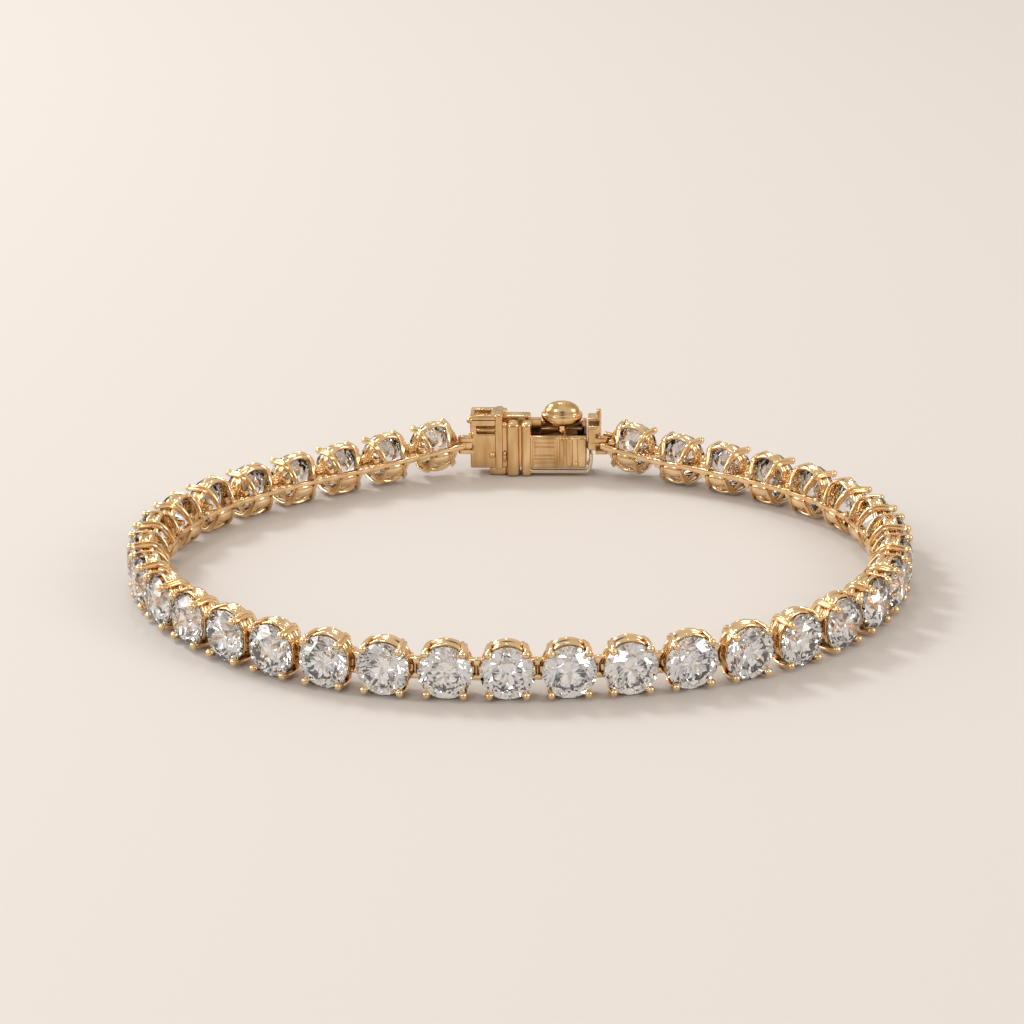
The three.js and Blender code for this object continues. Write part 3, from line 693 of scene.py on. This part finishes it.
studio = {
    "floorHalf": 3000.0, "floorColour": (0.645, 0.598, 0.558), "floorPolish": 0.6,
    # height of the view direction, colour: dimmer low down, white above
    "world": [(0.0, (0.62, 0.53, 0.45)), (0.12, (0.78, 0.7, 0.63)), (0.34, (1.0, 0.94, 0.89)),
              (1.0, (1.08, 1.0, 0.92))],
    "worldStrength": 0.7, "darkToward": (0.04, -0.95, 0.31), "darkSpread": (0.96, 0.996),
    "dark": (0.12, 0.13, 0.18),
    # name: place (mm), size (mm), watts, colour; all aim at the loop's middle
    "lamps": {
        "key": ((-374, 323, 425), 140, 1.7, (0.93, 0.97, 1.0)),
        "window": ((-520, 60, 250), 400, 1.1, (1.0, 0.98, 0.95)),
        "back glint": ((-50, 380, 520), 70, 0.3, (1.0, 0.98, 0.95)),
        "front fill": ((-260, -400, 330), 140, 0.4, (0.86, 0.93, 1.0)),
        "right fill": ((420, -160, 260), 220, 0.7, (1.0, 0.94, 0.88)),
    },
    # camera and aim before the loop's shift (mm), roll in radians
    "lens": 114.82, "sensor": 36.0, "clip": (0.01, 20.0),
    "camera": (11.909, -262.772, 100.899), "aim": (-1.56, 15.3, 0.336), "roll": -0.01236,
}


def makeFloor():
    half = studio["floorHalf"] * millimetre
    mesh = bpy.data.meshes.new("floor")
    corners = [(-half, -half, 0), (half, -half, 0), (half, half, 0), (-half, half, 0)]
    mesh.from_pydata(corners, [], [(0, 1, 2, 3)])
    floor = bpy.data.objects.new("floor", mesh)
    bpy.context.scene.collection.objects.link(floor)
    material, _, _, shader = newMaterial("pale floor")
    shader.inputs["Base Color"].default_value = (*studio["floorColour"], 1)
    shader.inputs["Roughness"].default_value = studio["floorPolish"]
    mesh.materials.append(material)


def aimed(place, aim):
    # the turn that points -Z from place to aim, with +Y upward
    return (Vector(aim) - Vector(place)).to_track_quat("-Z", "Y")


def makeLamps():
    for name, (place, size, watts, colour) in studio["lamps"].items():
        light = bpy.data.lights.new(name, "AREA")
        light.shape = "DISK"
        light.size = size * millimetre
        light.energy = watts
        light.color = colour
        lamp = bpy.data.objects.new(name, light)
        lamp.location = np.array(place) * millimetre
        lamp.rotation_mode = "QUATERNION"
        lamp.rotation_quaternion = aimed(place, (0, 0, 0))
        bpy.context.scene.collection.objects.link(lamp)


def makeWorld():
    # a pale ceiling over a dimmer room, with a dark patch where the photographer stands
    world = bpy.data.worlds.new("studio")
    bpy.context.scene.world = world
    world.use_nodes = True
    nodes, links = world.node_tree.nodes, world.node_tree.links
    back = nodes["Background"]
    back.inputs["Strength"].default_value = studio["worldStrength"]
    place = nodes.new("ShaderNodeTexCoord")
    split = nodes.new("ShaderNodeSeparateXYZ")
    ramp = nodes.new("ShaderNodeValToRGB")
    for (height, colour), stop in zip(studio["world"], [*ramp.color_ramp.elements, None, None]):
        stop = stop or ramp.color_ramp.elements.new(height)
        stop.position = height
        stop.color = (*colour, 1)
    toward = nodes.new("ShaderNodeVectorMath")
    toward.operation = "DOT_PRODUCT"
    toward.inputs[1].default_value = studio["darkToward"]
    patch = nodes.new("ShaderNodeMapRange")
    patch.interpolation_type = "SMOOTHSTEP"
    low, high = patch.inputs["From Min"], patch.inputs["From Max"]
    low.default_value, high.default_value = studio["darkSpread"]
    shade = nodes.new("ShaderNodeMix")
    shade.data_type = "RGBA"
    shade.inputs["B"].default_value = (*studio["dark"], 1)
    links.new(place.outputs["Generated"], split.inputs["Vector"])
    links.new(place.outputs["Generated"], toward.inputs[0])
    links.new(split.outputs["Z"], ramp.inputs["Fac"])
    links.new(toward.outputs["Value"], patch.inputs["Value"])
    links.new(ramp.outputs["Color"], shade.inputs["A"])
    links.new(patch.outputs["Result"], shade.inputs["Factor"])
    links.new(shade.outputs["Result"], back.inputs["Color"])


def makeCamera():
    # the place and the turn of the camera were fitted to the stones' places together with the loop
    camera = bpy.data.objects.new("camera", bpy.data.cameras.new("camera"))
    camera.data.lens, camera.data.sensor_width = studio["lens"], studio["sensor"]
    camera.data.clip_start, camera.data.clip_end = studio["clip"]
    shift = np.array(loop["shift"])
    place, aim = np.array(studio["camera"]) + shift, np.array(studio["aim"]) + shift
    camera.location = place * millimetre
    camera.rotation_mode = "QUATERNION"
    camera.rotation_quaternion = aimed(place, aim) @ Quaternion((0, 0, 1), studio["roll"])
    bpy.context.scene.collection.objects.link(camera)
    bpy.context.scene.camera = camera


bpy.context.scene.view_settings.view_transform = "Standard"
makeFloor()
makeLamps()
makeWorld()
makeCamera()
print("studio made")
